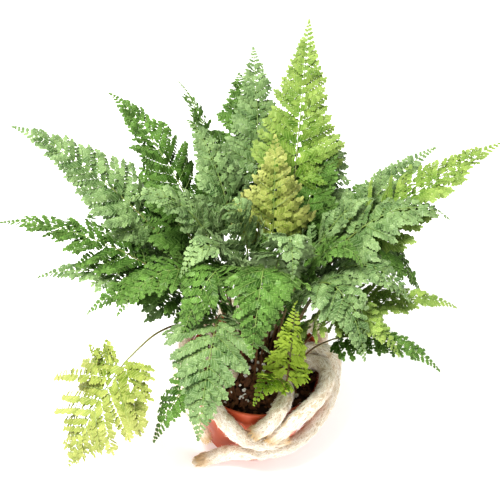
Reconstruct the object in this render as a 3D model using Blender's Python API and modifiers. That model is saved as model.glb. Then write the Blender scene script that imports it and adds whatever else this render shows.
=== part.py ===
"""A white rabbit's-foot fern in a tapered plastic pot, +Z up, in metres.

The origin is the centre of the pot's flat foot. Furry rhizomes creep from the potting mix over the rim and
down the wall, and each frond stands on the mix or on a rhizome. A frond is one closed solid: a wiry stipe that
widens into a thin toothed blade. Fronds are placed one after another, and each turns a little until it clears
the ones already standing, as growing leaves do.
"""

import itertools
import math

import bpy
import numpy as np
from mathutils import Vector
from mathutils.bvhtree import BVHTree

MM = 0.001
TOUCH_GAP = 0.0004

POT_HEIGHT = 0.085
POT_FOOT_RADIUS = 0.041
POT_WALL = 0.002
POT_FLOOR = 0.003
LIP_RADIUS = 0.0575
LIP_DROP = 0.014
LIP_THICK = 0.0032
NECK_RADIUS = 0.0525
DRAIN_HOLES = 6
DRAIN_RADIUS = 0.0035
DRAIN_CIRCLE = 0.031
TURN_STEPS = 40

MIX_EDGE_HEIGHT = 0.075
MIX_CROWN_HEIGHT = 0.0785

RHIZOME_SIDES = 8
RHIZOME_STEP = 0.011

STIPE_RADIUS = 0.0009
RACHIS_ABOVE = 0.0003
RACHIS_BELOW = 0.0006
STIPE_STATIONS = 5
FOOT_CIRCLE = 0.042
PINNA_PAIRS = 6
NOTCH_DEPTH = 0.42
PINNA_SWEEP = 0.45
FROND_CLEARANCE = 0.0012

# The line that a rhizome's centre keeps above the mix, over the rim and down the wall: (radius, height) in mm.
CREEP_LINE = [
    (0, 84.5), (30, 84), (43, 87.5), (51.5, 92.3), (59, 92.3), (64.2, 86.5), (65.2, 78),
    (64.6, 68), (61, 54), (56.8, 37), (52.6, 20), (49.2, 6.8),
]

# Rhizomes: name, radius in mm, then (azimuth in degrees, distance along the creep line in mm, lift in mm).
RHIZOMES = [
    ("rhizome_front_left", 6.4, [(-138, 24, 0), (-137, 40, 0), (-133, 55, 0), (-124, 64, 0), (-113, 71, 0),
                                 (-104, 81, 0), (-94, 93, 0), (-80, 99, 0), (-64, 97, 0)]),
    ("rhizome_front_low", 5.8, [(22, 30, 0), (16, 48, 0), (8, 63, 0), (-2, 76, 0), (-16, 89, 1), (-33, 101, 2),
                                (-52, 111, 3), (-72, 116, 2), (-94, 121, 1), (-111, 135, 1), (-123, 147, 7),
                                (-130, 149, 19)]),
    ("rhizome_left", 5.2, [(-182, 28, 0), (-174, 48, 0), (-168, 64, 0), (-160, 84, 0), (-150, 104, 0),
                           (-141, 120, 0), (-133, 131, 0)]),
    ("rhizome_front_right", 6.4, [(-38, 24, 0), (-49, 38, 0), (-60, 50, 0), (-70, 60, 0), (-78, 70, 0),
                                  (-86, 79, 0)]),
    ("rhizome_right", 6.2, [(2, 36, 0), (-2, 50, 0), (-12, 60, 0), (-27, 65, 0), (-43, 67, 0), (-57, 71, 0),
                            (-68, 80, 0), (-75, 89, 0)]),
    ("rhizome_back_right", 5.6, [(46, 29, 0), (43, 48, 0), (38, 64, 0), (30, 84, 0), (24, 104, 0), (20, 120, 0)]),
    ("rhizome_back", 6.0, [(80, 27, 0), (76, 47, 0), (70, 64, 0), (66, 86, 0), (68, 108, 0), (75, 126, 0)]),
    ("rhizome_back_left", 5.6, [(122, 28, 0), (118, 48, 0), (116, 64, 0), (121, 85, 0), (131, 104, 0),
                                (144, 118, 0)]),
    ("rhizome_far_left", 5.8, [(148, 28, 0), (150, 47, 0), (154, 63, 0), (162, 82, 0), (172, 98, 0)]),
]

# Fronds: age, azimuth of the tip in degrees, reach and height of the tip in mm, rise of the last control point
# above the tip in mm, blade length and half-width in mm, roll in degrees, and the turn in degrees from the tip's
# azimuth to the foot's.
FRONDS = [
    # Young fronds at the front.
    ("lime", -64, 50, 205, -50, 92, 18, 0, 6),
    ("lime", -91, 75, 121, 20, 46, 15, 0, 30),
    # The long frond at the right.
    ("bright", 20, 174, 281, -16, 124, 34, 0, 0),
    # The dome over the front of the pot.
    ("sage", -107, 129, 140, 76, 104, 36, 0, -46),
    ("deep", -94, 97, 198, 66, 92, 32, 0, 0),
    ("sage", -46, 104, 188, 60, 92, 28, 0, 6),
    ("bright", -32, 118, 188, 36, 96, 27, 0, 0),
    ("sage", -15, 108, 196, 44, 96, 30, 0, 0),
    ("deep", -126, 94, 188, 60, 88, 28, 0, 0),
    ("deep", -148, 118, 186, 50, 100, 28, 0, 0),
    ("deep", 14, 112, 196, 40, 92, 29, 0, 0),
    # The crown's high back fronds.
    ("bright", 84, 166, 311, -50, 130, 36, 0, -60),
    ("sage", 98, 187, 272, -6, 118, 29, 6, 0),
    ("deep", 101, 193, 244, 24, 110, 30, 0, 30),
    ("deep", 121, 163, 253, 6, 108, 24, 38, 0),
    ("deep", 139, 182, 256, 0, 124, 34, 0, 0),
    ("sage", 37, 156, 255, -4, 108, 24, 30, 0),
    ("gold", 92, 70, 263, -30, 84, 31, 0, -40),
    # The left side.
    ("sage", 162, 212, 253, 0, 128, 32, -14, 0),
    ("deep", 177, 202, 204, 14, 118, 32, 6, 0),
    ("sage", 162, 159, 193, 26, 100, 28, 0, 10),
    ("sage", -173, 172, 179, 24, 110, 28, 0, 0),
    ("deep", -163, 135, 166, 40, 96, 28, 0, 0),
    ("gold", -142, 172, 68, 104, 94, 46, 6, -38),
    ("deep", -127, 121, 95, 60, 72, 18, 0, 14),
    # The right side.
    ("bright", -4, 145, 177, 18, 100, 27, 0, 0),
    ("deep", -23, 143, 156, 26, 88, 21, 0, 0),
    ("sage", 9, 132, 221, 20, 90, 27, 0, 0),
    ("deep", -5, 124, 158, 64, 74, 20, 0, 30),
    # The crown's middle, above the dome.
    ("sage", 176, 108, 234, 34, 112, 31, 0, 0),
    ("sage", -140, 78, 222, 40, 92, 28, 0, 0),
    ("sage", -75, 62, 232, 30, 92, 28, 0, 0),
    ("sage", 26, 82, 238, 10, 100, 32, 0, 0),
    ("deep", -25, 72, 228, 30, 92, 28, 0, 0),
    ("sage", 127, 119, 238, 10, 96, 27, 0, 0),
    ("deep", 62, 118, 244, 0, 100, 28, 0, 0),
    # Short fronds inside the tuft, between the front dome and the tall back.
    ("deep", 96, 26, 200, 22, 76, 24, 0, 0),
    ("sage", 150, 46, 212, 22, 82, 24, 0, 0),
    ("deep", 40, 48, 188, 22, 74, 24, 0, 0),
    ("deep", -165, 70, 190, 30, 80, 23, 0, 0),
]

# Rings of plainer fronds behind: ages, count, first azimuth, azimuth step, then reach, height, rise, blade length
# and half-width in mm.
RINGS = [
    (("deep", "sage", "deep"), 6, 46, 22, 165, 196, 40, 110, 30),
    (("sage", "deep"), 4, 38, 34, 152, 130, 64, 100, 29),
]

GREENS = {
    "deep": (0.06, 0.19, 0.05),
    "sage": (0.22, 0.36, 0.19),
    "bright": (0.20, 0.42, 0.05),
    "gold": (0.42, 0.45, 0.12),
    "lime": (0.38, 0.62, 0.06),
}


def clear_scene():
    for obj in list(bpy.data.objects):
        bpy.data.objects.remove(obj)


def collection(name):
    made = bpy.data.collections.new(name)
    bpy.context.scene.collection.children.link(made)
    return made


def material(name, colour, roughness):
    made = bpy.data.materials.new(name)
    made.use_nodes = True
    shader = made.node_tree.nodes["Principled BSDF"]
    shader.inputs["Base Color"].default_value = (*colour, 1)
    shader.inputs["Roughness"].default_value = roughness
    shader.inputs["Metallic"].default_value = 0
    return made


def add_mesh(name, points, faces, home, finish):
    mesh = bpy.data.meshes.new(name)
    mesh.from_pydata([tuple(p) for p in points], [], faces)
    mesh.update()
    mesh.materials.append(finish)
    obj = bpy.data.objects.new(name, mesh)
    home.objects.link(obj)
    return obj


def turned(name, profile, home, finish):
    """A solid of revolution about Z. The profile is (radius, height) points, from the axis and back to it."""
    edges = [(i, i + 1) for i in range(len(profile) - 1)]
    mesh = bpy.data.meshes.new(name)
    mesh.from_pydata([(r, 0, z) for r, z in profile], edges, [])
    mesh.materials.append(finish)
    obj = bpy.data.objects.new(name, mesh)
    home.objects.link(obj)
    screw = obj.modifiers.new("Turn", "SCREW")
    screw.axis = "Z"
    screw.steps = TURN_STEPS
    screw.render_steps = TURN_STEPS
    screw.use_merge_vertices = True
    screw.merge_threshold = 0.00005
    return obj


def wall_radius(height):
    """The outer radius of the pot's tapered wall, below its lip."""
    return POT_FOOT_RADIUS + (NECK_RADIUS - POT_FOOT_RADIUS) * height / (POT_HEIGHT - LIP_DROP)


def make_pot(home, tools):
    lip_foot = POT_HEIGHT - LIP_DROP
    lip_inner = LIP_RADIUS - LIP_THICK
    profile = [
        (0, POT_FLOOR),
        (wall_radius(POT_FLOOR) - POT_WALL, POT_FLOOR),
        (NECK_RADIUS - POT_WALL, lip_foot),
        (lip_inner, lip_foot + 0.003),
        (lip_inner + 0.0004, POT_HEIGHT - 0.001),
        (lip_inner + 0.0012, POT_HEIGHT),
        (LIP_RADIUS - 0.001, POT_HEIGHT),
        (LIP_RADIUS, POT_HEIGHT - 0.001),
        (LIP_RADIUS - 0.0008, lip_foot + 0.001),
        (LIP_RADIUS - 0.0018, lip_foot),
        (NECK_RADIUS, lip_foot),
        (POT_FOOT_RADIUS + 0.0005, 0.002),
        (POT_FOOT_RADIUS - 0.0015, 0),
        (0, 0),
    ]
    pot = turned("pot", profile, home, material("pot_plastic", (0.60, 0.10, 0.04), 0.42))
    for i in range(DRAIN_HOLES):
        turn = 2 * math.pi * (i + 0.5) / DRAIN_HOLES
        bpy.ops.mesh.primitive_cylinder_add(
            vertices=12,
            radius=DRAIN_RADIUS,
            depth=4 * POT_FLOOR,
            location=(DRAIN_CIRCLE * math.cos(turn), DRAIN_CIRCLE * math.sin(turn), POT_FLOOR / 2),
        )
        cutter = bpy.context.object
        cutter.name = f"drain_cutter_{i}"
        for owner in list(cutter.users_collection):
            owner.objects.unlink(cutter)
        tools.objects.link(cutter)
        cutter.hide_render = True
        cutter.display_type = "WIRE"
        cut = pot.modifiers.new(f"Drain {i}", "BOOLEAN")
        cut.operation = "DIFFERENCE"
        cut.object = cutter
    return pot


def mix_height(radius):
    """The potting mix is a low mound."""
    edge = LIP_RADIUS - LIP_THICK
    return MIX_CROWN_HEIGHT - (MIX_CROWN_HEIGHT - MIX_EDGE_HEIGHT) * (radius / edge) ** 2


def make_mix(home):
    low = POT_FLOOR + TOUCH_GAP
    inner_wall = POT_WALL + 1.5 * TOUCH_GAP
    lip_foot = POT_HEIGHT - LIP_DROP
    edge = NECK_RADIUS - inner_wall
    mound = [(r, mix_height(r)) for r in (edge, 0.040, 0.027, 0.013, 0)]
    profile = [
        *reversed(mound),
        (edge, lip_foot - 0.001),
        (wall_radius(low) - inner_wall, low),
        (0, low),
    ]
    return turned("potting_mix", profile, home, material("potting_mix", (0.05, 0.028, 0.018), 0.95))


def smooth_through(keys, at):
    """Values on a Catmull-Rom curve through the rows of keys, at parameters from 0 to 1."""
    keys = np.array(keys, float)
    ends = np.vstack([2 * keys[0] - keys[1], keys, 2 * keys[-1] - keys[-2]])
    spans = len(keys) - 1
    made = []
    for value in at:
        i = min(int(value * spans), spans - 1)
        t = value * spans - i
        a, b, c, d = ends[i : i + 4]
        made.append(0.5 * (2 * b + (c - a) * t + (2 * a - 5 * b + 4 * c - d) * t**2 + (3 * b - a - 3 * c + d) * t**3))
    return np.array(made)


def on_creep_line(distance):
    """(radius, height) in metres at a distance along the creep line in mm."""
    line = smooth_through(CREEP_LINE, np.linspace(0, 1, 120))
    along = np.concatenate([[0], np.cumsum(np.linalg.norm(np.diff(line, axis=0), axis=1))])
    return np.array([np.interp(distance, along, line[:, k]) for k in (0, 1)]) * MM


def rhizome_line(keys):
    """Points along a rhizome's centre, about RHIZOME_STEP apart."""
    fine = []
    for azimuth, distance, lift in smooth_through(keys, np.linspace(0, 1, 90)):
        radius, height = on_creep_line(distance)
        turn = math.radians(azimuth)
        radius += lift * MM
        fine.append((radius * math.cos(turn), radius * math.sin(turn), height))
    return respaced(np.array(fine), RHIZOME_STEP)


def respaced(line, step):
    along = np.concatenate([[0], np.cumsum(np.linalg.norm(np.diff(line, axis=0), axis=1))])
    count = max(3, round(along[-1] / step) + 1)
    at = np.linspace(0, along[-1], count)
    return np.stack([np.interp(at, along, line[:, k]) for k in range(3)], axis=1)


def loft(rings, start, end):
    """Points and faces of a closed solid through rings of equal count, with a point at each end."""
    sides = len(rings[0])
    points = [start, *[p for ring in rings for p in ring], end]
    faces = []
    for j in range(sides):
        k = (j + 1) % sides
        faces.append((0, 1 + k, 1 + j))
        for i in range(len(rings) - 1):
            low, high = 1 + i * sides, 1 + (i + 1) * sides
            faces.append((low + j, low + k, high + k, high + j))
        last = 1 + (len(rings) - 1) * sides
        faces.append((last + j, last + k, len(points) - 1))
    return points, faces


def unit(vector):
    return vector / max(np.linalg.norm(vector), 1e-12)


def units(rows):
    return rows / np.maximum(np.linalg.norm(rows, axis=1), 1e-12)[:, None]


def make_rhizome(name, radius, keys, home, finish):
    """A blunt-ended tube whose thickness swells a little at each old leaf joint."""
    line = rhizome_line(keys)
    tangents = np.gradient(line, axis=0)
    rings = []
    across = unit(np.cross(tangents[0], (0, 0, 1)))
    last = len(line) - 1
    for i, (centre, tangent) in enumerate(zip(line, tangents)):
        tangent = unit(tangent)
        across = unit(across - tangent * (across @ tangent))
        other = np.cross(tangent, across)
        blunt = 0.62 if i in (0, last) else 1
        thick = radius * MM * blunt * (1 + 0.05 * math.sin(2.3 * i + radius))
        turns = [2 * math.pi * j / RHIZOME_SIDES for j in range(RHIZOME_SIDES)]
        rings.append([centre + thick * (math.cos(t) * across + math.sin(t) * other) for t in turns])
    reach = 0.55 * radius * MM
    start = line[0] - unit(tangents[0]) * reach
    end = line[last] + unit(tangents[last]) * reach
    obj = add_mesh(name, *loft(rings, start, end), home, finish)
    obj.data.shade_smooth()
    return obj


def bezier(points, at):
    """Points on the cubic through four control points."""
    a, b, c, d = points
    t = np.asarray(at)[:, None]
    return a * (1 - t) ** 3 + 3 * b * t * (1 - t) ** 2 + 3 * c * t**2 * (1 - t) + d * t**3


class Frond:
    """One frond's measures, in metres and radians, and the solid that they give."""

    def __init__(self, ground, age, azimuth, reach, height, rise, blade, half_width, roll, foot_turn):
        self.ground = ground
        self.age = age
        self.azimuth = azimuth
        self.reach = reach
        self.height = height
        self.rise = rise
        self.blade = blade
        self.half_width = half_width
        self.roll = roll
        self.foot_turn = foot_turn

    def nudged(self, turn, lift, arch, twist, slim):
        return Frond(
            self.ground, self.age, self.azimuth + turn, self.reach, self.height + lift, self.rise + arch,
            self.blade * (1 + slim) / 2, self.half_width * slim, self.roll + twist, self.foot_turn,
        )

    def foot(self):
        """Young fronds rise near the rim. Older ones stand nearer the middle, the taller they are."""
        slope = math.atan2(self.height * MM - POT_HEIGHT, self.reach * MM)
        radius = FOOT_CIRCLE * (1 - max(slope, 0) / (math.pi / 2))
        if self.age == "lime":
            radius = min(0.9 * self.reach * MM, 1.1 * FOOT_CIRCLE)
        return standing_point(self.ground, self.azimuth + self.foot_turn, radius)

    def spine(self):
        """Fine points from the foot of the stipe to the tip, and the distance along them."""
        turn = math.radians(self.azimuth)
        foot = self.foot()
        tip = np.array([self.reach * math.cos(turn), self.reach * math.sin(turn), self.height]) * MM
        flat = tip - foot
        flat[2] = 0
        top = max(tip[2], tip[2] + self.rise * MM)
        vault = 0.6 + 0.5 * min(max(self.rise / 60, 0), 1)
        knee = foot + 0.12 * flat
        knee[2] = foot[2] + max(vault * (top - foot[2]), 0.03)
        neck = foot + 0.70 * flat
        neck[2] = tip[2] + self.rise * MM
        line = bezier([foot, knee, neck, tip], np.linspace(0, 1, 60))
        along = np.concatenate([[0], np.cumsum(np.linalg.norm(np.diff(line, axis=0), axis=1))])
        return line, along

    def solid(self, swell=0.0):
        """Points and faces. swell thickens the frond, to test for clearance."""
        line, along = self.spine()
        length = along[-1]
        blade = min(self.blade * MM, 0.85 * length)
        blade_foot = length - blade
        stipe = np.linspace(0.0016, blade_foot - 0.004, STIPE_STATIONS)
        thick = STIPE_RADIUS + swell
        corners = [(thick, 0), (0, thick), (-thick, 0), (0, -thick)]
        rows = [(distance, out, above) for distance in stipe for out, above in corners]
        for share, width in BLADE_OUTLINE:
            distance = blade_foot + share * blade
            half = self.half_width * MM * width
            edge = min(distance + PINNA_SWEEP * half, length - 0.3 * (length - distance))
            rows += [(edge, half + swell, 0), (distance, 0, RACHIS_ABOVE + swell),
                     (edge, -half - swell, 0), (distance, 0, -RACHIS_BELOW - swell)]
        rows = np.array([(0, 0, 0), *rows, (length, 0, 0)])
        points = self.placed(line, along, rows, blade_foot)
        rings = points[1:-1].reshape(-1, 4, 3)
        return loft(rings, points[0], points[-1])

    def placed(self, line, along, rows, blade_foot):
        """Points for rows of (distance along the spine, distance out, distance above the blade)."""

        def spine_at(distance):
            return np.stack([np.interp(distance, along, line[:, k]) for k in range(3)], axis=1)

        distance, out, above = rows.T
        tangent = units(spine_at(np.minimum(distance + 0.002, along[-1])) - spine_at(np.maximum(distance - 0.002, 0)))
        side = unit(np.cross((0, 0, 1), line[-1] - line[0]))
        flat = units(side - tangent * (tangent @ side)[:, None])
        normal = np.cross(tangent, flat)
        turn = math.radians(self.roll) * np.minimum(distance / blade_foot, 1.0)[:, None]
        across = np.cos(turn) * flat + np.sin(turn) * normal
        facing = np.cross(tangent, across)
        return spine_at(distance) + out[:, None] * across + above[:, None] * facing


def blade_outline():
    """(share of the blade, share of the half-width) at each notch and pinna tip, from foot to tip."""
    made = []
    for k in range(PINNA_PAIRS):
        foot = (k / PINNA_PAIRS) ** 0.92
        full = (1 - foot) ** 0.95
        made.append((foot, NOTCH_DEPTH * full if k else 0.1))
        middle = ((k + 0.45) / PINNA_PAIRS) ** 0.92
        made.append((middle * 0.97 + 0.01, (1 - middle) ** 0.95 if k else 0.94))
    return made


BLADE_OUTLINE = blade_outline()


def tree_of(solids):
    points, faces = [], []
    for some, ring in solids:
        first = len(points)
        points += [Vector(p) for p in some]
        faces += [tuple(first + i for i in face) for face in ring]
    return BVHTree.FromPolygons(points, faces)


def mesh_of(obj):
    graph = bpy.context.evaluated_depsgraph_get()
    mesh = obj.evaluated_get(graph).to_mesh()
    points = [obj.matrix_world @ v.co for v in mesh.vertices]
    return points, [tuple(p.vertices) for p in mesh.polygons]


def standing_point(ground, azimuth, radius):
    """The point a little above the mix or rhizome at this place."""
    turn = math.radians(azimuth)
    x, y = radius * math.cos(turn), radius * math.sin(turn)
    hit = ground.ray_cast(Vector((x, y, 2 * POT_HEIGHT)), Vector((0, 0, -1)))[0]
    return np.array([x, y, hit.z + TOUCH_GAP + 0.0006])


def tries():
    """Nudges from none to large: turn in degrees, lift and arch in mm, twist in degrees, and slimming."""
    found = []
    choices = itertools.product(
        (0, 3, -3, 6, -6, 10, -10), (0, 7, -7, 15, -15, 25), (0, 12, -12, 24), (0, 12, -12, 24, -24),
        (1.0, 0.88, 0.76, 0.64),
    )
    for turn, lift, arch, twist, slim in choices:
        cost = abs(turn) / 9 + abs(lift) / 22 + abs(arch) / 24 + abs(twist) / 28 + (1 - slim) * 4
        found.append((cost, (turn, lift, arch, twist, slim)))
    return [nudge for cost, nudge in sorted(found, key=lambda row: row[0])]


def settled(frond, standing, order):
    """The frond with the smallest nudge that clears what already stands, or None."""
    for nudge in order:
        tried = frond.nudged(*nudge)
        if not tree_of([tried.solid(FROND_CLEARANCE)]).overlap(standing):
            return tried
    return None


def planned_fronds(ground):
    """Every frond as first planned."""
    for measures in FRONDS:
        yield Frond(ground, *measures)
    for ages, count, first, step, reach, height, rise, blade, half_width in RINGS:
        for i in range(count):
            sway = math.sin(2.2 * i + reach)
            yield Frond(ground, ages[i % len(ages)], first + step * i, reach + 12 * sway, height - 16 * sway, rise,
                        blade + 8 * sway, half_width, 0, 12 * sway)


def make_fronds(home, ground_solids):
    ground = tree_of(ground_solids)
    finishes = {age: material(f"frond_{age}", colour, 0.45) for age, colour in GREENS.items()}
    standing = list(ground_solids)
    order = tries()
    made = 0
    for plan in planned_fronds(ground):
        frond = settled(plan, tree_of(standing), order)
        if frond is None:
            print("no room for", plan.age, plan.azimuth, plan.reach)
            continue
        made += 1
        points, faces = frond.solid()
        standing.append((points, faces))
        add_mesh(f"frond_{made:02d}_{frond.age}", points, faces, home, finishes[frond.age])


def main():
    clear_scene()
    home = collection("potted_fern")
    tools = collection("cutters")
    make_pot(home, tools)
    make_mix(home)
    scales = material("rhizome_scales", (0.72, 0.64, 0.47), 0.9)
    for name, radius, keys in RHIZOMES:
        make_rhizome(name, radius, keys, home, scales)
    bpy.context.view_layer.update()
    ground_solids = [mesh_of(obj) for obj in home.objects]
    make_fronds(home, ground_solids)


main()
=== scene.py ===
"""Looks for the potted fern. Each frond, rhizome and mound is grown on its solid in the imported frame.

A frond's solid gives the line of its rachis and the breadth of its blade. The leaflets are laid out flat on
a blade of that size, and then bent on to the line.
"""

import math

import bpy
import numpy as np
from mathutils import Matrix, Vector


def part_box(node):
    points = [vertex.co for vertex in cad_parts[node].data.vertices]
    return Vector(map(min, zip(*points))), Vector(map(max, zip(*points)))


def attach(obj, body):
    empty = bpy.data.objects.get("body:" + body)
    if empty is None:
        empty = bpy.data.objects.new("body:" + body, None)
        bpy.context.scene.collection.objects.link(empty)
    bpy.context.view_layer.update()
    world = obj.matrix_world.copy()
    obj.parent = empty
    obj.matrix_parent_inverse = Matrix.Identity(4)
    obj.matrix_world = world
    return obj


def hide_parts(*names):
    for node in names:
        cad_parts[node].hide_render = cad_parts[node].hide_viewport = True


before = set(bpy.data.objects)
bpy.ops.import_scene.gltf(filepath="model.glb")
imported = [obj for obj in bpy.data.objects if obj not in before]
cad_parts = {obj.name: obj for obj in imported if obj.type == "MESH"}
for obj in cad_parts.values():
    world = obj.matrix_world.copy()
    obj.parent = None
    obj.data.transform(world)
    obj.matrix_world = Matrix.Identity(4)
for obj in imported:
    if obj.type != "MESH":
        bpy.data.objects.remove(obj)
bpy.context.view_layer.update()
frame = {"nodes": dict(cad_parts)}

# A frond's solid: rings between its foot and its blade, and its widest ring's half-width as a share of the
# blade's. Its foot is within this reach of the pot's axis.
STIPE_RINGS = 5
WIDEST_RING_SHARE = 0.94
AXIS_REACH = 0.06
SPINE_POINTS = 160

# A leaflet longer than the longest is divided again, and a pinna shorter than the shortest is one leaflet.
# The steps are between leaflets along a pinna, and the lowest pinnae have a longer one.
LEAF_THICK = 0.00026
LONGEST_LEAFLET = 0.0090
SHORTEST_PINNA = 0.0065
LEAFLET_STEP = 0.0031
LOWEST_LEAFLET_STEP = 0.0040
PINNA_KNOTS = 14
# How much pinnae differ in the way they roll and slope, as standard deviations.
PINNA_ROLL = 0.34
PINNA_SLOPE = 0.16
# How many lobes a leaflet has on each side, if it is shorter than this.
LOBES_UNDER = ((0.0022, 1), (0.0042, 2), (0.0085, 3), (math.inf, 5))
RIB_STATIONS, RIB_SIDES = 10, 4
STIPE_STATIONS, STIPE_SIDES = 72, 8

RHIZOME_STATIONS, RHIZOME_SIDES = 90, 16
# The rhizome's surface for each scale, in square metres, and the share of scales that stand off it.
SCALE_AREA = 1.1e-6
STRAY_SHARE = 0.14
# Along one scale: its stations as shares of its length, and its width there. Each station is a triangle.
SCALE_STATIONS = np.array([0, 0.35, 0.7, 1.0])
SCALE_TAPER = np.array([0.8, 1.0, 0.7, 0.12])
SCALE_SIDES = 3

POT_SECTORS = 128
# Drain holes: how many, their radius, and how far out they are.
DRAINS, DRAIN_RADIUS, DRAIN_CIRCLE = 6, 0.0035, 0.031
MIX_RINGS, MIX_SECTORS, MIX_WAVES = 34, 96, 26
# How far the mound's middle is above its edge, and the height of its lumps.
MOUND_RISE = 0.0035
LUMP = 0.00042
# Grains on the mound: how many, how far out, how proud they lie, size range, stretch, unevenness.
GRAINS = {
    "mix_crumbs": (900, 0.99, 0.0002, (0.0006, 0.0022), 1.8, 0.25),
    "perlite_grains": (130, 0.97, 0.0010, (0.0009, 0.0019), 1.3, 0.12),
}

# Seeds. A frond's or rhizome's number in the list of nodes is added to its own.
FROND_SEED, RHIZOME_SEED, MIX_SEED, GRAIN_SEED = 100, 500, 7, 11

# A full turn and a little more, so that a strip of the flat map keeps a margin.
MAP_TURN = 6.3

# The Mix node's colour sockets share their names with its other sockets, so they go by number.
MIX_A, MIX_B, MIX_RESULT = 6, 7, 2

FLOOR_SIZE = 8
WORLD_STRENGTH = 0.66
# Lights: name, place, aim, size, power in watts, colour.
LIGHTS = (
    ("key", (-0.5, -0.5, 1.5), (0, 0, 0.15), 0.4, 30, (1.0, 0.99, 0.97)),
    ("front", (0.5, -1.4, 0.8), (0, 0, 0.12), 0.9, 4, (1.0, 1.0, 1.0)),
)

# Camera: place, lens in mm, how far it looks down and how far it leans, in degrees.
CAMERA_PLACE = (-0.0138, -0.4594, 0.6209)
CAMERA_LENS = 60.5
CAMERA_PITCH, CAMERA_ROLL = 42, 5

# Leaf colours by age: shaded green, lit green, edge and tip tint, how far the tint spreads, roughness.
LEAVES = {
    "deep": ((0.009, 0.038, 0.004), (0.135, 0.250, 0.058), (0.350, 0.470, 0.190), 0.30, 0.34),
    "sage": ((0.020, 0.066, 0.008), (0.255, 0.355, 0.155), (0.490, 0.580, 0.370), 0.35, 0.36),
    "bright": ((0.036, 0.110, 0.005), (0.255, 0.345, 0.085), (0.520, 0.570, 0.260), 0.55, 0.40),
    "gold": ((0.095, 0.155, 0.014), (0.370, 0.410, 0.130), (0.600, 0.540, 0.290), 0.60, 0.42),
    "lime": ((0.045, 0.140, 0.003), (0.275, 0.400, 0.036), (0.600, 0.680, 0.190), 0.55, 0.38),
}


def unit(vector):
    """The vector at length 1."""
    return vector / max(np.linalg.norm(vector), 1e-12)


def units(rows):
    """Each row at length 1."""
    return rows / np.maximum(np.linalg.norm(rows, axis=-1, keepdims=True), 1e-12)


# ---------------------------------------------------------------- reading the frame


def welded(obj):
    """The node's distinct points, and each one's neighbours along edges."""
    mesh = obj.data
    points = np.empty(len(mesh.vertices) * 3)
    mesh.vertices.foreach_get("co", points)
    points, index = np.unique(points.reshape(-1, 3).round(6), axis=0, return_inverse=True)
    index = index.ravel()
    neighbours = [set() for _ in points]
    for edge in mesh.edges:
        a, b = (index[v] for v in edge.vertices)
        neighbours[a].add(b)
        neighbours[b].add(a)
    return points, neighbours


def rings_from(start, points, neighbours):
    """The points in rings, counted in edges from the starting point."""
    ring, seen, rings = [start], {start}, []
    while ring:
        rings.append(points[ring])
        ring = sorted({n for v in ring for n in neighbours[v]} - seen)
        seen.update(ring)
    return rings


def frond_rings(obj):
    """A frond's points in rings from its foot, which is its lowest point near the pot's axis."""
    points, neighbours = welded(obj)
    height = np.where(np.hypot(points[:, 0], points[:, 1]) < AXIS_REACH, points[:, 2], 1)
    return rings_from(int(np.argmin(height)), points, neighbours)


def curve_through(points, count):
    """Evenly spaced points on a Catmull-Rom curve through the points."""
    ends = np.vstack([2 * points[0] - points[1], points, 2 * points[-1] - points[-2]])
    spans = len(points) - 1
    value = np.linspace(0, spans, 12 * spans + 1)
    i = np.minimum(value.astype(int), spans - 1)
    t = (value - i)[:, None]
    a, b, c, d = (ends[i + k] for k in range(4))
    fine = 0.5 * (
        2 * b + (c - a) * t + (2 * a - 5 * b + 4 * c - d) * t**2 + (3 * b - a - 3 * c + d) * t**3
    )
    along = distances(fine)
    at = np.linspace(0, along[-1], count)
    return np.stack([np.interp(at, along, fine[:, k]) for k in range(points.shape[1])], axis=1)


def distances(line):
    """How far each of the line's points is along it."""
    return np.concatenate([[0], np.cumsum(np.linalg.norm(np.diff(line, axis=0), axis=1))])


class Spine:
    """A line with a tangent, a way across and a way up at each point, read by distance along it."""

    def __init__(self, line, up):
        self.line = line
        self.along = distances(line)
        self.length = self.along[-1]
        self.tangent = units(np.gradient(line, self.along, axis=0))
        up = up - self.tangent * (up * self.tangent).sum(1)[:, None]
        self.up = units(up)
        self.across = np.cross(self.tangent, self.up)

    def read(self, rows, distance):
        return np.stack([np.interp(distance, self.along, rows[:, k]) for k in range(3)], axis=-1)

    def place(self, x, y, z):
        """Points for flat coordinates: x across, y along, z up. Beyond the ends it goes straight on."""
        clear = np.clip(y, 0, self.length)
        beyond = (y - clear)[..., None] * self.read(self.tangent, clear)
        return (
            self.read(self.line, clear) + beyond
            + x[..., None] * self.read(self.across, clear)
            + z[..., None] * self.read(self.up, clear)
        )


def blade_ring(ring):
    """A blade ring's centre, and its edge from side to side.

    The ring has four points, and the closest two are its top and bottom.
    """
    gaps = np.linalg.norm(ring[:, None] - ring[None], axis=2) + np.eye(4)
    top, bottom = np.unravel_index(np.argmin(gaps), gaps.shape)
    left, right = (i for i in range(4) if i not in (top, bottom))
    return (ring[top] + ring[bottom]) / 2, ring[right] - ring[left]


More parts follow.
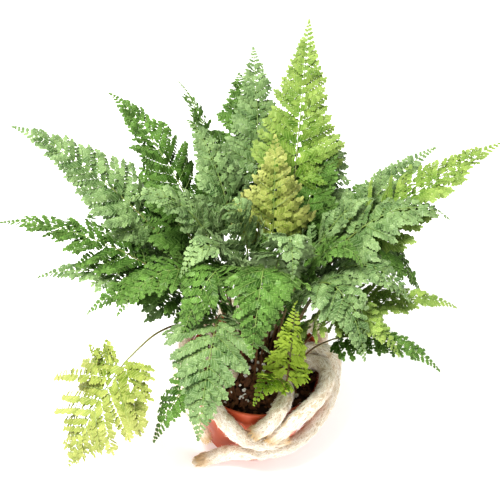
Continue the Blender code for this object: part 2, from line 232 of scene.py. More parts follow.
def frond_frame(obj):
    """The frond's spine, where its blade starts along it, and the blade's half-width."""
    rings = frond_rings(obj)
    foot, tip = rings[0][0], rings[-1][0]
    stipe = [ring.mean(0) for ring in rings[1 : 1 + STIPE_RINGS]]
    centres, edges = zip(*(blade_ring(ring) for ring in rings[1 + STIPE_RINGS : -1]))
    knots = np.array([foot, *stipe, *centres, tip])
    knot_at = distances(knots)
    tangents = np.gradient(knots, axis=0)
    out = unit((tip - foot) * (1, 1, 0))
    level = np.array([-out[1], out[0], 0])
    ups, at = [unit(np.cross(tangents[0], level))], [0]
    for k, edge in enumerate(edges, 1 + STIPE_RINGS):
        up = unit(np.cross(unit(tangents[k]), edge))
        ups.append(up if up @ np.cross(tangents[k], level) > 0 else -up)
        at.append(knot_at[k])
    at = np.array(at) / knot_at[-1]
    ups = np.array(ups)
    line = curve_through(knots, SPINE_POINTS)
    share = distances(line) / distances(line)[-1]
    spine = Spine(line, np.stack([np.interp(share, at, ups[:, k]) for k in range(3)], axis=1))
    half = max(np.linalg.norm(edge) / 2 for edge in edges) / WIDEST_RING_SHARE
    return spine, at[1] * spine.length, half


# ---------------------------------------------------------------- mesh building


def link_mesh(name, mesh):
    """A new object in the scene for the mesh."""
    obj = bpy.data.objects.new(name, mesh)
    bpy.context.scene.collection.objects.link(obj)
    return obj


class Solid:
    """Gathers points, four-cornered faces, a flat map, and a colour row at each point."""

    def __init__(self):
        self.points, self.quads, self.flat, self.tints, self.slots = [], [], [], [], []
        self.count = 0

    def add(self, points, quads, flat, tints, slot=0):
        self.points.append(points)
        self.quads.append(quads + self.count)
        self.flat.append(flat)
        self.tints.append(tints)
        self.slots.append(np.full(len(quads), slot))
        self.count += len(points)

    def object(self, name, materials, sharp=50):
        points, quads = np.concatenate(self.points), np.concatenate(self.quads)
        mesh = bpy.data.meshes.new(name)
        mesh.vertices.add(len(points))
        mesh.vertices.foreach_set("co", points.ravel())
        mesh.loops.add(quads.size)
        mesh.loops.foreach_set("vertex_index", quads.ravel().astype(np.int32))
        mesh.polygons.add(len(quads))
        mesh.polygons.foreach_set("loop_start", np.arange(0, quads.size, 4, dtype=np.int32))
        mesh.polygons.foreach_set("material_index", np.concatenate(self.slots).astype(np.int32))
        mesh.update(calc_edges=True)
        mesh.shade_smooth()
        mesh.set_sharp_from_angle(angle=math.radians(sharp))
        layer = mesh.uv_layers.new(name="OFBake")
        layer.data.foreach_set("uv", np.concatenate(self.flat)[quads.ravel()].ravel())
        tints = mesh.attributes.new("tint", "FLOAT_COLOR", "POINT")
        tints.data.foreach_set("color", np.concatenate(self.tints).ravel())
        for material in materials:
            mesh.materials.append(material)
        mesh.validate()
        return link_mesh(name, mesh)


def wall_quads(stations, sides):
    """Faces between each ring of points and the next."""
    i, j = np.meshgrid(np.arange(stations - 1), np.arange(sides), indexing="ij")
    k = (j + 1) % sides
    here, ahead = i * sides, (i + 1) * sides
    return np.stack([here + j, here + k, ahead + k, ahead + j], axis=-1).reshape(-1, 4)


def tube_quads(stations, sides):
    """Faces of a tube through rings of points, closed at both ends with strips of quads."""
    strips = [(a, a + 1, sides - 2 - a, sides - 1 - a) for a in range(sides // 2 - 1)]
    start = np.array([strip[::-1] for strip in strips])
    end = np.array(strips) + (stations - 1) * sides
    return np.concatenate([wall_quads(stations, sides), start, end])


def level_ring(radius, turn, height):
    """A ring of points about the pot's axis."""
    x = radius * np.cos(turn)
    return np.stack([x, radius * np.sin(turn), np.broadcast_to(height, x.shape)], axis=1)


# ---------------------------------------------------------------- leaflets


def leaflet_shape(lobes):
    """A leaflet's stations: distance along, half-width, and how far its edge is swept forward."""
    rows = [(0.0, 0.10, 0.0)]
    starts = [0.08 + 0.86 * (i / lobes) ** 0.95 for i in range(lobes + 1)]
    for i, (low, high) in enumerate(zip(starts, starts[1:])):
        step = high - low
        for share, fill in ((0.02, 0.42 if i == 0 else 0.60), (0.42, 0.97), (0.84, 1.0)):
            t = low + share * step
            breadth = 1.75 * (t + 0.02) ** 0.35 * (1.04 - t) ** 0.6
            rows.append((t, breadth * fill, 0.10 * fill))
    rows.append((1.0, 0.12, 0.0))
    return np.array(rows)


def leaflet_template(lobes):
    """Along, across, and upper (0) or lower (1) face for each point, and the faces of a closed leaflet."""
    rows = leaflet_shape(lobes)
    count = len(rows)
    along, across, under = [], [], []
    for face in (0, 1):
        for t, half, sweep in rows:
            along += [t + sweep, t, t + sweep]
            across += [-half, 0, half]
            under += [face, face, face]
    size = 3 * count
    quads = []
    for i in range(count - 1):
        a, b = 3 * i, 3 * i + 3
        c, d = a + size, b + size
        quads += [(a, a + 1, b + 1, b), (a + 1, a + 2, b + 2, b + 1)]
        quads += [(c, d, d + 1, c + 1), (c + 1, d + 1, d + 2, c + 2)]
        quads += [(a, b, d, c), (a + 2, c + 2, d + 2, b + 2)]
    last, end = size - 3, 2 * size - 3
    quads += [(0, size, size + 1, 1), (1, size + 1, size + 2, 2)]
    quads += [(last, last + 1, end + 1, end), (last + 1, last + 2, end + 2, end + 1)]
    along, across, under = (np.array(v, float) for v in (along, across, under))
    return np.minimum(along, 1.0), across, under, np.array(quads)


TEMPLATES = {lobes: leaflet_template(lobes) for _, lobes in LOBES_UNDER}


def lobes_for(length):
    """How many lobes a leaflet of this length has on each side."""
    return next(lobes for limit, lobes in LOBES_UNDER if length < limit)


def pinna_leaflets(origin, side, heading, length, gap, lowest, rng):
    """Leaflet rows along one pinna, and its midribs.

    A row is x, y, heading, length, half-width, rise, twist and slope.
    """
    roll, slope = rng.normal(0, PINNA_ROLL), rng.normal(0, PINNA_SLOPE)
    fine = np.linspace(0, 1, PINNA_KNOTS)
    headings = heading - 0.24 * side * fine
    step = length / (PINNA_KNOTS - 1)
    x = origin[0] + np.concatenate([[0], np.cumsum(np.sin(headings[:-1]) * step)])
    y = origin[1] + np.concatenate([[0], np.cumsum(np.cos(headings[:-1]) * step)])
    count = max(3, round(length / (LOWEST_LEAFLET_STEP if lowest else LEAFLET_STEP)))
    rows, ribs = [], [np.stack([x, y], axis=1)]
    for j in range(count):
        for flank in (-1, 1):
            # The lowest pinnae are much broader on the side toward the blade's foot.
            u = (j + 0.55 + 0.22 * flank) / (count + 0.6)
            basal = flank == side
            breadth = 0.56 * gap * (1.04 - u) ** 0.32
            if lowest and basal:
                breadth = max(breadth, 0.40 * length * (1 - u) ** 1.25)
            spread = math.radians(54 - 16 * u + 3 * rng.normal())
            size = breadth / math.sin(spread) * (1 + 0.06 * rng.normal())
            place = np.interp(u, fine, x), np.interp(u, fine, y)
            turn = np.interp(u, fine, headings) + flank * spread
            if size > LONGEST_LEAFLET:
                inner, rib = pinna_leaflets(place, side, turn, size, 1.25 * length / count, False, rng)
                rows += inner
                ribs += rib
                continue
            half = max(0.68 * length / count * (1.1 - 0.2 * u), 0.38 * size)
            rise = (-0.16 - roll if basal else 0.12 + roll) + 0.16 * rng.normal()
            rows.append((*place, turn, size, half, rise, 0.30 * rng.normal(), slope))
    tip_twist = 0.1 * rng.normal()
    rows.append((x[-2], y[-2], headings[-1], 0.10 * length + 0.0018, 0.0014, -0.1, tip_twist, slope))
    return rows, ribs


def pinna_gap(v, half):
    """The distance to the next pinna: less nearer the tip, and on narrower blades."""
    return 0.0021 + 0.0070 * (1 - v) ** 0.65 * math.sqrt(half / 0.03)


def blade_layout(length, half, rng):
    """All leaflets of a flat blade that runs along +Y from the origin, and the midribs of its pinnae."""
    rows, ribs = [], []
    y = 0.0
    first = True
    while y < 0.985 * length:
        v = y / length
        gap = pinna_gap(v, half)
        for side in (-1, 1):
            # Toward the tip, pinnae are shorter and lean further forward.
            reach = half * 1.05 * (1 - v) ** 1.14 * (1 + 0.05 * rng.normal())
            lean = math.radians(66 - 16 * v + 2.5 * rng.normal())
            span = reach / math.sin(lean)
            start = (0.0, y + (0.3 * gap if side > 0 else 0))
            if span < SHORTEST_PINNA:
                wide = max(0.30 * span + 0.0003, 0.40 * gap)
                rows.append((*start, side * lean, span + 0.0008, wide, -0.05, 0.2 * rng.normal(), 0.0))
                continue
            leaflets, midribs = pinna_leaflets(start, side, side * lean, span, gap, first, rng)
            rows += leaflets
            ribs += midribs
        y += gap
        first = False
    rows.append((0.0, 0.97 * length, 0.0, 0.036 * length, 0.0012, -0.1, 0.0, 0.0))
    return np.array(rows), ribs


def flat_map(x, y, under, length, half):
    """Upper faces go left of the map's middle and lower faces right of it. Stems have its right edge."""
    u = 0.23 + 0.20 * x / (1.25 * half) + 0.46 * under
    v = 0.02 + 0.94 * np.clip((y + 0.3 * half) / (length + 0.4 * half), 0, 1)
    return np.stack([np.clip(u, 0.01, 0.92), v], axis=-1)


def add_leaflets(solid, spine, start, length, half, rows, bend):
    """The leaflets, bent on to the spine.

    Tints are chance, share out to the leaflet's edge, share out on the blade, and 1 on the underside.
    """
    lobes = np.array([lobes_for(size) for size in rows[:, 3]])
    for count, (along, across, under, quads) in TEMPLATES.items():
        some = rows[lobes == count]
        if not len(some):
            continue
        px, py, turn, size, breadth, rise, twist, slope = (some[:, k, None] for k in range(8))
        a = size * along
        b = breadth * across
        curl = 0.10 * a**2 / size + 0.16 * b**2 / breadth
        z = a * np.sin(rise) - curl - under * LEAF_THICK + b * np.sin(twist)
        b = b * np.cos(twist)
        x = px + a * np.sin(turn) + b * np.cos(turn)
        y = py + a * np.cos(turn) - b * np.sin(turn)
        z += bend(x) + slope * np.abs(px)
        points = spine.place(x, start + y, z)
        flat = flat_map(x, y, under[None, :], length, half)
        chance = np.broadcast_to(np.modf(np.abs(np.sin(px * 9e5 + py * 7e5)) * 437.5)[0], x.shape)
        edge = np.broadcast_to(np.abs(across), x.shape)
        outward = np.clip(np.abs(x) / half * 0.6 + np.clip(y / length, 0, 1) * 0.7, 0, 1)
        tints = np.stack([chance, edge, outward, np.broadcast_to(under, x.shape)], axis=-1)
        offsets = (np.arange(len(some)) * len(along))[:, None, None]
        faces = (quads[None] + offsets).reshape(-1, 4)
        solid.add(points.reshape(-1, 3), faces, flat.reshape(-1, 2), tints.reshape(-1, 4))


def stem_tints(share):
    """The stem material reads only how far out a point is, in the third channel."""
    tints = np.zeros((len(share), 4))
    tints[:, 2] = share
    return tints


def add_ribs(solid, spine, start, ribs, bend):
    """A slim four-sided midrib along each pinna."""
    quads = tube_quads(RIB_STATIONS, RIB_SIDES)
    corners = np.array([(1, 0), (0, 1), (-1, 0), (0, -1)])
    for rib in ribs:
        line = curve_through(rib, RIB_STATIONS)
        heading = units(np.gradient(line, axis=0))
        side = np.stack([heading[:, 1], -heading[:, 0]], axis=1)
        wide = np.linspace(0.00026, 0.00008, RIB_STATIONS)[:, None]
        x = line[:, 0, None] + side[:, 0, None] * wide * corners[:, 0]
        y = line[:, 1, None] + side[:, 1, None] * wide * corners[:, 0]
        z = bend(x) - 0.0001 + 0.8 * wide * corners[:, 1]
        points = spine.place(x, start + y, z).reshape(-1, 3)
        flat = np.stack([np.full(x.size, 0.985), np.clip(0.5 + x.ravel() * 8, 0, 1)], axis=1)
        solid.add(points, quads, flat, stem_tints(np.full(x.size, 0.9)), 1)


def add_stipe(solid, spine, start):
    """The stipe and rachis: one wiry tube from the foot to near the tip."""
    y = np.linspace(0, 0.99 * spine.length, STIPE_STATIONS)[:, None]
    thick = np.interp(y, [0, 0.006, start, spine.length], [0.0013, 0.00095, 0.00062, 0.00018])
    turn = np.linspace(0, 2 * np.pi, STIPE_SIDES, endpoint=False)[None]
    x = thick * np.cos(turn)
    z = thick * 0.9 * np.sin(turn) - 0.3 * thick
    points = spine.place(x, np.broadcast_to(y, x.shape), z).reshape(-1, 3)
    share = np.broadcast_to(y / spine.length, x.shape).ravel()
    around = np.broadcast_to(turn, x.shape).ravel() / MAP_TURN
    flat = np.stack([0.95 + 0.02 * around, 0.01 + 0.98 * share], axis=1)
    solid.add(points, tube_quads(STIPE_STATIONS, STIPE_SIDES), flat, stem_tints(share), 1)


def make_frond(obj, number, leaf, stem):
    """One frond: leaflets, midribs and stipe in one piece, with the blade arched a little across."""
    spine, start, half = frond_frame(obj)
    rng = np.random.default_rng(FROND_SEED + number)
    length = spine.length - start
    rows, ribs = blade_layout(length, half, rng)
    lift, droop = rng.uniform(0.04, 0.16), rng.uniform(0.18, 0.34)

    def bend(x):
        return lift * np.abs(x) - droop * x**2 / half

    solid = Solid()
    add_leaflets(solid, spine, start, length, half, rows, bend)
    add_ribs(solid, spine, start, ribs, bend)
    add_stipe(solid, spine, start)
    piece = solid.object(obj.name + "_leaves", [leaf, stem])
    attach(piece, "root")
    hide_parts(obj.name)


# ---------------------------------------------------------------- rhizomes


def rhizome_frame(obj):
    """The rhizome's centre line and its radius along it."""
    points, neighbours = welded(obj)
    ends = [i for i, near in enumerate(neighbours) if len(near) == 8]
    start = max(ends, key=lambda i: points[i][2] - np.hypot(*points[i][:2]))
    rings = rings_from(start, points, neighbours)
    centres = np.array([ring.mean(0) for ring in rings])
    radii = [np.linalg.norm(ring - ring.mean(0), axis=1).mean() for ring in rings]
    return centres, np.array(radii)


def make_rhizome(obj, number, skin, fur):
    """A knobbly core under a coat of narrow scales that lie along it, frayed a little at the edges."""
    rng = np.random.default_rng(RHIZOME_SEED + number)
    centres, radii = rhizome_frame(obj)
    both = curve_through(np.column_stack([centres, radii]), RHIZOME_STATIONS)
    line, radius = both[:, :3], both[:, 3]
    tangent = units(np.gradient(line, axis=0))
    out = units(line * (1, 1, 0))
    # The last, tiny term keeps the sum from ever running along the line itself.
    spine = Spine(line, out + 0.3 * np.array([0, 0, 1]) + 1e-4 * tangent[:, ::-1])
    turn = np.linspace(0, 2 * np.pi, RHIZOME_SIDES, endpoint=False)[None]
    share = np.linspace(0, 1, RHIZOME_STATIONS)[:, None]
    knobs = 1 + 0.07 * np.sin(spine.along * 520 + number)[:, None] + 0.06 * np.sin(3 * turn + 9 * share)
    blunt = np.clip(np.minimum(share, 1 - share) * 14, 0.02, 1) ** 0.5
    thick = 0.90 * np.maximum(radius, 0.9 * radius.max())[:, None] * knobs * blunt
    y = np.broadcast_to(spine.along[:, None], thick.shape)
    points = spine.place(thick * np.cos(turn), y, thick * np.sin(turn)).reshape(-1, 3)
    around = np.broadcast_to(0.02 + 0.44 * turn / MAP_TURN, y.shape)
    flat = np.stack([around.ravel(), 0.02 + 0.96 * y.ravel() / spine.length], axis=1)
    core = Solid()
    core.add(points, tube_quads(RHIZOME_STATIONS, RHIZOME_SIDES), flat, np.zeros((len(points), 4)))
    add_scales(core, spine, thick.mean(1), rng)
    piece = core.object(obj.name + "_fur", [skin, fur], 80)
    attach(piece, "root")
    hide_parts(obj.name)


def bent_scales(y0, r0, turn, size, rise, swirl, width):
    """The scales' points about a straight rhizome along Y, and the angle of each one's middle line."""
    s = size[:, None] * SCALE_STATIONS
    lift = s * np.sin(rise)[:, None] * (1 - 0.45 * SCALE_STATIONS)
    ahead = y0[:, None] + s * (np.cos(swirl) * np.cos(rise))[:, None]
    sweep = turn[:, None] + s * np.sin(swirl)[:, None] / r0[:, None]
    x, y, z = [], [], []
    for across, height in ((-1, 0), (1, 0), (0, 0.8)):
        side = across * width[:, None] * SCALE_TAPER
        tall = height * width[:, None] * SCALE_TAPER
        angle = sweep + side * np.cos(swirl)[:, None] / r0[:, None]
        radius = r0[:, None] + lift + tall
        x.append(radius * np.cos(angle))
        z.append(radius * np.sin(angle))
        y.append(ahead - side * np.sin(swirl)[:, None])
    return (*(np.stack(v, axis=-1) for v in (x, y, z)), sweep)


def add_scales(solid, spine, thick, rng):
    """Narrow scales, each a curved spike with three sides.

    Tints are chance, share out to the scale's tip, and share along the rhizome.
    """
    area = 2 * np.pi * thick.mean() * spine.length
    count = int(area / SCALE_AREA)
    # Where each scale is rooted, its length, if it stands off, its rise, its turn aside, its width.
    y0 = rng.uniform(0.01, 0.97, count) * spine.length
    turn = rng.uniform(0, 2 * np.pi, count)
    size = rng.uniform(0.0035, 0.0075, count)
    stray = rng.random(count) < STRAY_SHARE
    rise = np.where(stray, rng.uniform(0.35, 0.8, count), rng.uniform(0.08, 0.34, count))
    swirl = rng.normal(0, 0.55, count)
    width = rng.uniform(0.00022, 0.00045, count) * np.where(stray, 0.55, 1)
    r0 = np.interp(y0, spine.along, thick) - 0.0002
    x, y, z, sweep = bent_scales(y0, r0, turn, size, rise, swirl, width)
    points = spine.place(x, y, z).reshape(-1, 3)
    stations = len(SCALE_STATIONS)
    each = stations * SCALE_SIDES
    walls = wall_quads(stations, SCALE_SIDES)
    quads = (walls[None] + each * np.arange(count)[:, None, None]).reshape(-1, 4)
    chance = np.repeat(rng.random(count), each)
    tip = np.tile(np.repeat(SCALE_STATIONS, SCALE_SIDES), count)
    share = np.clip(y.ravel() / spine.length, 0, 1)
    tints = np.stack([chance, tip, share, 0 * share], axis=1)
    around = np.mod(sweep[:, :, None] + 0 * x, 2 * np.pi).ravel() / MAP_TURN
    flat = np.stack([0.52 + 0.46 * around, 0.02 + 0.96 * share], axis=1)
    solid.add(points, quads, flat, tints, 1)


# ---------------------------------------------------------------- pot, mix and perlite


def icosahedron():
    """Its corners, at radius 1, and its faces."""
    g = (1 + 5**0.5) / 2
    points = [(-1, g, 0), (1, g, 0), (-1, -g, 0), (1, -g, 0)]
    points += [(0, -1, g), (0, 1, g), (0, -1, -g), (0, 1, -g)]
    points += [(g, 0, -1), (g, 0, 1), (-g, 0, -1), (-g, 0, 1)]
    faces = [(0, 11, 5), (0, 5, 1), (0, 1, 7), (0, 7, 10), (0, 10, 11)]
    faces += [(1, 5, 9), (5, 11, 4), (11, 10, 2), (10, 7, 6), (7, 1, 8)]
    faces += [(3, 9, 4), (3, 4, 2), (3, 2, 6), (3, 6, 8), (3, 8, 9)]
    faces += [(4, 9, 5), (2, 4, 11), (6, 2, 10), (8, 6, 7), (9, 8, 1)]
    return units(np.array(points, float)), np.array(faces)


def scatter(count, reach, proud, rng):
    """Places on the mound."""
    _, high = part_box("potting_mix")
    share = np.sqrt(rng.random(count)) * reach
    turn = rng.uniform(0, 2 * np.pi, count)
    return level_ring(share * high.x, turn, high.z - MOUND_RISE * share**2 + proud)


def make_grains(name, material, rng):
    """Irregular grains, scattered on the mound."""
    count, reach, proud, size_range, stretch, uneven = GRAINS[name]
    places = scatter(count, reach, proud, rng)
    sizes = rng.uniform(*size_range, count)
    points, faces = icosahedron()
    corners = len(points)
    all_points, all_faces = [], []
    for i, (place, size) in enumerate(zip(places, sizes)):
        shape = points * (1 + uneven * rng.uniform(-1, 1, (corners, 1))) * rng.uniform(1, stretch, 3)
        spin = np.linalg.qr(rng.normal(size=(3, 3)))[0]
        if np.linalg.det(spin) < 0:
            spin[0] *= -1
        all_points.append(shape @ spin.T * size + place)
        all_faces.append(faces + corners * i)
    mesh = bpy.data.meshes.new(name)
    mesh.from_pydata(np.concatenate(all_points).tolist(), [], np.concatenate(all_faces).tolist())
    mesh.materials.append(material)
    obj = link_mesh(name, mesh)
    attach(obj, "root")


def mound_rings(low, high, rng):
    """Rings from the middle of the mound out to its edge, and down its side to its foot."""
    edge = high.x - 0.0002
    rim_height = high.z - MOUND_RISE
    turn = np.linspace(0, 2 * np.pi, MIX_SECTORS, endpoint=False)
    waves = [
        (rng.uniform(60, 420, 2) * rng.choice((-1, 1), 2), rng.uniform(0, 6.3), rng.uniform(0.3, 1))
        for _ in range(MIX_WAVES)
    ]
    rings = []
    for share in np.linspace(0.02, 1, MIX_RINGS):
        ring = level_ring(share * edge, turn, rim_height + MOUND_RISE * (1 - share**2) - 0.0006)
        x, y = ring[:, 0], ring[:, 1]
        lumps = sum(a * np.sin(k[0] * x + k[1] * y + phase) for k, phase, a in waves)
        rings.append(ring + np.outer(LUMP * lumps, (0, 0, 1)))
    for share, height in ((0.995, rim_height - 0.005), (0.93, 0.04), (0.80, low.z + 0.001)):
        rings.append(level_ring(share * edge, turn, height))
    return rings


def make_mix(material):
    """A lumpy mound inside the pot, in place of the smooth one."""
    rings = mound_rings(*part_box("potting_mix"), np.random.default_rng(MIX_SEED))
    quads = np.roll(wall_quads(len(rings), MIX_SECTORS)[:, ::-1], 1, axis=1)
    last = (len(rings) - 1) * MIX_SECTORS
    caps = [tuple(range(MIX_SECTORS)), tuple(range(last + MIX_SECTORS - 1, last - 1, -1))]
    mesh = bpy.data.meshes.new("mix_mound")
    mesh.from_pydata(np.concatenate(rings).tolist(), [], quads.tolist() + caps)
    mesh.materials.append(material)
    mesh.shade_smooth()
    mound = link_mesh("mix_mound", mesh)
    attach(mound, "root")
    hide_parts("potting_mix")


def pot_profile(lip, top):
    """Radius and height round the wall's section.

    It starts on the axis at the floor's upper face, and ends on the axis at its underside.
    """
    return [
        (0.0, 0.003), (0.0385, 0.003), (0.0388, 0.0035), (0.0505, 0.071), (0.0512, 0.0735),
        (0.0543, 0.0745), (0.0545, 0.0835), (0.0550, 0.0846), (0.0557, top), (lip - 0.0010, top),
        (lip - 0.0003, top - 0.0004), (lip, top - 0.0012), (lip - 0.0004, 0.0775),
        (lip - 0.0002, 0.0765), (lip - 0.0004, 0.0755), (lip - 0.0009, 0.0722),
        (lip - 0.0014, 0.0712), (lip - 0.0022, 0.0709), (0.0530, 0.0709), (0.0525, 0.0700),
        (0.0419, 0.0040), (0.0415, 0.0015), (0.0408, 0.0004), (0.0398, 0.0), (0.0375, 0.0),
        (0.0368, 0.0008), (0.0360, 0.0010), (0.0, 0.0010),
    ]


def turned_mesh(name, profile):
    """The profile turned about the pot's axis, on which it starts and ends."""
    turn = np.linspace(0, 2 * np.pi, POT_SECTORS, endpoint=False)
    rings = [level_ring(radius, turn, height) for radius, height in profile[1:-1]]
    count = len(rings)
    points = np.concatenate([*rings, [(0, 0, profile[0][1]), (0, 0, profile[-1][1])]])
    faces = wall_quads(count, POT_SECTORS)[:, ::-1].tolist()
    inner, outer, last = count * POT_SECTORS, count * POT_SECTORS + 1, (count - 1) * POT_SECTORS
    faces += [(inner, b, (b + 1) % POT_SECTORS) for b in range(POT_SECTORS)]
    faces += [(outer, last + (b + 1) % POT_SECTORS, last + b) for b in range(POT_SECTORS)]
    mesh = bpy.data.meshes.new(name)
    mesh.from_pydata(points.tolist(), [], faces)
    return mesh


def cut_drains(shell):
    """Cut the drain holes through the shell's floor, where the CAD pot has them."""
    cutters = []
    for n in range(DRAINS):
        angle = 2 * math.pi * (n + 0.5) / DRAINS
        place = (DRAIN_CIRCLE * math.cos(angle), DRAIN_CIRCLE * math.sin(angle), 0)
        bpy.ops.mesh.primitive_cylinder_add(vertices=32, radius=DRAIN_RADIUS, depth=0.02, location=place)
        cutters.append(bpy.context.object)
        cut = shell.modifiers.new("Drain", "BOOLEAN")
        cut.operation = "DIFFERENCE"
        cut.object = cutters[-1]
    bpy.context.view_layer.update()
    cut_mesh = bpy.data.meshes.new_from_object(shell.evaluated_get(bpy.context.evaluated_depsgraph_get()))
    shell.modifiers.clear()
    shell.data = cut_mesh
    for cutter in cutters:
        bpy.data.objects.remove(cutter)


def make_pot(material):
    """The pot's wall as a smooth turned shell, with drain holes."""
    _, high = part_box("pot")
    mesh = turned_mesh("pot_shell", pot_profile(high.x, high.z))
    mesh.materials.append(material)
    shell = link_mesh("pot_shell", mesh)
    cut_drains(shell)
    shell.data.name = "pot_shell_cut"
    shell.data.shade_smooth()
    shell.data.set_sharp_from_angle(angle=math.radians(40))
    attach(shell, "root")
    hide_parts("pot")


# ---------------------------------------------------------------- materials


class Nodes:
    """A short way to wire a material."""

    def __init__(self, name):
        self.material = bpy.data.materials.new(name)
        self.material.use_nodes = True
        self.tree = self.material.node_tree
        self.shader = self.tree.nodes["Principled BSDF"]

    def add(self, kind, inputs=None, **settings):
        node = self.tree.nodes.new(kind)
        for key, value in settings.items():
            setattr(node, key, value)
        for key, value in (inputs or {}).items():
            self.feed(node.inputs[key], value)
        return node

    def feed(self, socket, value):
        if isinstance(value, bpy.types.NodeSocket):
            self.tree.links.new(value, socket)
        elif isinstance(value, tuple) and len(value) == 3 and socket.type == "RGBA":
            socket.default_value = (*value, 1)
        else:
            socket.default_value = value

    def noise(self, scale, detail=3.0, rough=0.5):
        where = self.add("ShaderNodeTexCoord").outputs["Object"]
        inputs = {"Vector": where, "Scale": scale, "Detail": detail, "Roughness": rough}
        return self.add("ShaderNodeTexNoise", inputs).outputs["Fac"]

    def mix(self, share, a, b):
        node = self.add("ShaderNodeMix", data_type="RGBA")
        self.feed(node.inputs["Factor"], share)
        self.feed(node.inputs[MIX_A], a)
        self.feed(node.inputs[MIX_B], b)
        return node.outputs[MIX_RESULT]

    def maths(self, operation, a, b=0.0, clamp=False):
        node = self.add("ShaderNodeMath", operation=operation, use_clamp=clamp)
        self.feed(node.inputs[0], a)
        self.feed(node.inputs[1], b)
        return node.outputs[0]

    def span(self, value, low, high, to_low=0.0, to_high=1.0):
        node = self.add("ShaderNodeMapRange")
        self.feed(node.inputs["Value"], value)
        numbers = {"From Min": low, "From Max": high, "To Min": to_low, "To Max": to_high}
        for key, number in numbers.items():
            node.inputs[key].default_value = number
        return node.outputs["Result"]

    def tint(self):
        node = self.add("ShaderNodeAttribute", attribute_name="tint")
        parts = self.add("ShaderNodeSeparateColor", {"Color": node.outputs["Color"]})
        return parts.outputs["Red"], parts.outputs["Green"], parts.outputs["Blue"], node.outputs["Alpha"]

    def bump(self, height, strength, distance):
        node = self.add("ShaderNodeBump", {"Height": height, "Strength": strength, "Distance": distance})
        self.feed(self.shader.inputs["Normal"], node.outputs["Normal"])

    def finish(self, colour, roughness, **constants):
        self.feed(self.shader.inputs["Base Color"], colour)
        self.feed(self.shader.inputs["Roughness"], roughness)
        for key, value in constants.items():
            self.shader.inputs[key.replace("_", " ")].default_value = value
        return self.material


def leaf_material(age):
    """Green with painted light and shade: random patches and each leaflet's chance blend shaded and lit
    green, and painted shade darkens each leaflet toward its midrib. It is paler toward the edges, tips and
    undersides.
    """
    shade, lit, tinge, spread, roughness = LEAVES[age]
    nodes = Nodes("leaf_" + age)
    chance, edge, outward, under = nodes.tint()
    # Painted light and shade: noise patches and each leaflet's chance blend the shaded green into the lit
    # green.
    painted_light_patches = nodes.span(nodes.noise(70, 4), 0.34, 0.64)
    painted_light_share = nodes.maths("MULTIPLY", painted_light_patches, 0.55)
    light = nodes.maths("ADD", painted_light_share, nodes.maths("MULTIPLY", chance, 0.45))
    colour = nodes.mix(light, shade, lit)
    young = nodes.maths("MULTIPLY", nodes.maths("POWER", outward, 2.2), spread, clamp=True)
    colour = nodes.mix(young, colour, tinge)
    # Painted shade: each leaflet darkens toward the shaded green in the crease along its midrib.
    painted_crease_shade = nodes.span(edge, 0.05, 0.60, 0.45, 0.0)
    colour = nodes.mix(painted_crease_shade, colour, shade)
    vein = nodes.span(edge, 0.0, 0.12, 0.45, 0.0)
    colour = nodes.mix(vein, colour, tinge)
    rim = nodes.span(edge, 0.60, 1.0, 0.0, 0.40)
    colour = nodes.mix(rim, colour, tinge)
    pale = tuple(0.55 * c + 0.45 * t for c, t in zip(lit, tinge))
    colour = nodes.mix(nodes.maths("MULTIPLY", under, 0.6), colour, pale)
    grain = nodes.noise(900, 2)
    nodes.bump(grain, 0.35, 0.0004)
    gloss = nodes.span(nodes.noise(160, 2), 0.3, 0.7, roughness - 0.07, roughness + 0.12)
    return nodes.finish(colour, gloss, Specular_IOR_Level=0.08)


def stem_material():
    """Brown at the foot, and green in the blade."""
    nodes = Nodes("stipe")
    _, _, share, _ = nodes.tint()
    brown = nodes.mix(nodes.noise(300, 3), (0.075, 0.035, 0.018), (0.22, 0.12, 0.055))
    green = nodes.mix(nodes.noise(200, 2), (0.10, 0.17, 0.04), (0.22, 0.29, 0.09))
    colour = nodes.mix(nodes.span(share, 0.25, 0.75), brown, green)
    nodes.bump(nodes.noise(1400, 2), 0.3, 0.0003)
    return nodes.finish(colour, 0.45)


def rhizome_materials():
    """The brown skin of a rhizome, and the cream scales on it, golden at its growing tip."""
    skin = Nodes("rhizome_skin")
    colour = skin.mix(skin.noise(350, 4), (0.45, 0.34, 0.23), (0.80, 0.70, 0.55))
    skin.bump(skin.noise(900, 4), 0.8, 0.0008)
    skin.finish(colour, 0.9)
    fur = Nodes("rhizome_fur")
    chance, tip, share, _ = fur.tint()
    colour = fur.mix(chance, (0.74, 0.64, 0.50), (0.97, 0.94, 0.87))
    streaks = fur.span(fur.noise(60, 3), 0.52, 0.72, 0.0, 0.45)
    colour = fur.mix(streaks, colour, (0.80, 0.62, 0.48))
    growing = fur.span(share, 0.90, 0.99, 0.0, 0.75)
    colour = fur.mix(growing, colour, (0.60, 0.38, 0.12))
    base = fur.span(tip, 0.0, 0.5, 0.18, 0.0)
    colour = fur.mix(base, colour, (0.45, 0.30, 0.18))
    fur.finish(colour, 0.82, Sheen_Weight=0.3)
    return skin.material, fur.material


def pot_material():
    """Terracotta-coloured plastic, with faint level lines and rubbed spots."""
    nodes = Nodes("terracotta_plastic")
    where = nodes.add("ShaderNodeTexCoord").outputs["Object"]
    colour = nodes.mix(nodes.noise(24, 4), (0.44, 0.085, 0.035), (0.58, 0.145, 0.070))
    rubbed = nodes.span(nodes.noise(420, 5, 0.65), 0.62, 0.80, 0.0, 0.4)
    colour = nodes.mix(rubbed, colour, (0.78, 0.30, 0.18))
    stretch = nodes.add("ShaderNodeMapping", {"Vector": where, "Scale": (1.0, 1.0, 14.0)})
    inputs = {"Vector": stretch.outputs["Vector"], "Scale": 60.0, "Detail": 3.0}
    lines = nodes.add("ShaderNodeTexNoise", inputs).outputs["Fac"]
    pores = nodes.maths("MULTIPLY", nodes.noise(1500, 2), 0.5)
    nodes.bump(nodes.maths("ADD", lines, pores), 0.18, 0.0004)
    gloss = nodes.span(nodes.noise(90, 3), 0.3, 0.7, 0.30, 0.46)
    return nodes.finish(colour, gloss)


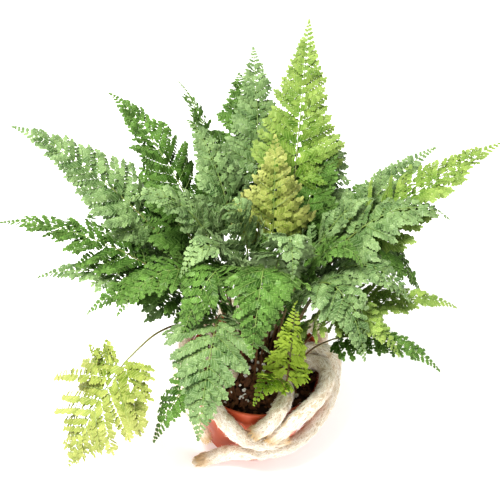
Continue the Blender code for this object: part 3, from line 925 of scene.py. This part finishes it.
def mix_material():
    """Dark damp peat."""
    nodes = Nodes("peat")
    colour = nodes.mix(nodes.noise(420, 6, 0.7), (0.008, 0.004, 0.003), (0.105, 0.048, 0.026))
    nodes.bump(nodes.noise(1100, 5, 0.7), 1.0, 0.0015)
    return nodes.finish(colour, 0.93)


def crumb_material():
    """Bark crumbs of many browns."""
    nodes = Nodes("bark_crumbs")
    colour = nodes.mix(nodes.noise(240, 4, 0.7), (0.022, 0.010, 0.006), (0.330, 0.165, 0.085))
    nodes.bump(nodes.noise(1800, 4), 0.8, 0.0006)
    return nodes.finish(colour, 0.9)


def perlite_material():
    nodes = Nodes("perlite")
    colour = nodes.mix(nodes.noise(700, 3), (0.86, 0.83, 0.76), (0.97, 0.96, 0.94))
    nodes.bump(nodes.noise(2200, 4), 0.7, 0.0005)
    return nodes.finish(colour, 0.85)


# ---------------------------------------------------------------- stage


def floor_material():
    nodes = Nodes("pale_floor")
    colour = nodes.mix(nodes.noise(3, 2), (0.93, 0.93, 0.93), (0.95, 0.95, 0.95))
    return nodes.finish(colour, 0.7, Emission_Color=(1, 1, 1, 1), Emission_Strength=0.18)


def add_light(name, place, aim, size, power, colour):
    """A round soft light, turned to its aim."""
    data = bpy.data.lights.new(name, "AREA")
    data.shape = "DISK"
    data.size = size
    data.energy = power
    data.color = colour
    light = bpy.data.objects.new(name, data)
    bpy.context.scene.collection.objects.link(light)
    light.location = place
    way = np.array(aim, float) - np.array(place, float)
    light.rotation_euler = (
        math.atan2(math.hypot(way[0], way[1]), -way[2]),
        0,
        math.atan2(-way[0], way[1]),
    )


def make_stage():
    """The floor, an even white surround, and the lights."""
    bpy.ops.mesh.primitive_plane_add(size=FLOOR_SIZE)
    floor = bpy.context.object
    floor.name = "floor"
    floor.data.materials.append(floor_material())
    world = bpy.data.worlds.new("studio")
    bpy.context.scene.world = world
    world.use_nodes = True
    background = world.node_tree.nodes["Background"]
    background.inputs["Color"].default_value = (1.0, 1.0, 1.0, 1)
    background.inputs["Strength"].default_value = WORLD_STRENGTH
    for light in LIGHTS:
        add_light(*light)


def make_camera():
    """A level camera that looks along +Y and down, leaning a little to one side."""
    data = bpy.data.cameras.new("camera")
    data.sensor_width = 36
    data.lens = CAMERA_LENS
    camera = bpy.data.objects.new("camera", data)
    bpy.context.scene.collection.objects.link(camera)
    camera.location = CAMERA_PLACE
    pitch, roll = math.radians(CAMERA_PITCH), math.radians(CAMERA_ROLL)
    forward = np.array([0, math.cos(pitch), -math.sin(pitch)])
    level = np.array([1.0, 0, 0])
    rise = np.array([0, math.sin(pitch), math.cos(pitch)])
    right = level * math.cos(roll) + rise * math.sin(roll)
    up = rise * math.cos(roll) - level * math.sin(roll)
    turn = np.column_stack([right, up, -forward])
    camera.rotation_euler = Matrix(turn.tolist()).to_euler()
    bpy.context.scene.camera = camera


def make_plant(nodes):
    """Every piece of the object. The list of nodes in order gives each frond and rhizome its number."""
    leaves = {age: leaf_material(age) for age in LEAVES}
    stem = stem_material()
    skin, fur = rhizome_materials()
    for number, name in enumerate(sorted(nodes)):
        if name.startswith("frond_"):
            make_frond(nodes[name], number, leaves[name.rsplit("_", 1)[1]], stem)
        elif name.startswith("rhizome_"):
            make_rhizome(nodes[name], number, skin, fur)
    make_pot(pot_material())
    make_mix(mix_material())
    rng = np.random.default_rng(GRAIN_SEED)
    make_grains("mix_crumbs", crumb_material(), rng)
    make_grains("perlite_grains", perlite_material(), rng)


def set_view():
    view = bpy.context.scene.view_settings
    view.view_transform = "Standard"
    view.look = "High Contrast"


make_plant(frame["nodes"])
make_stage()
make_camera()
set_view()
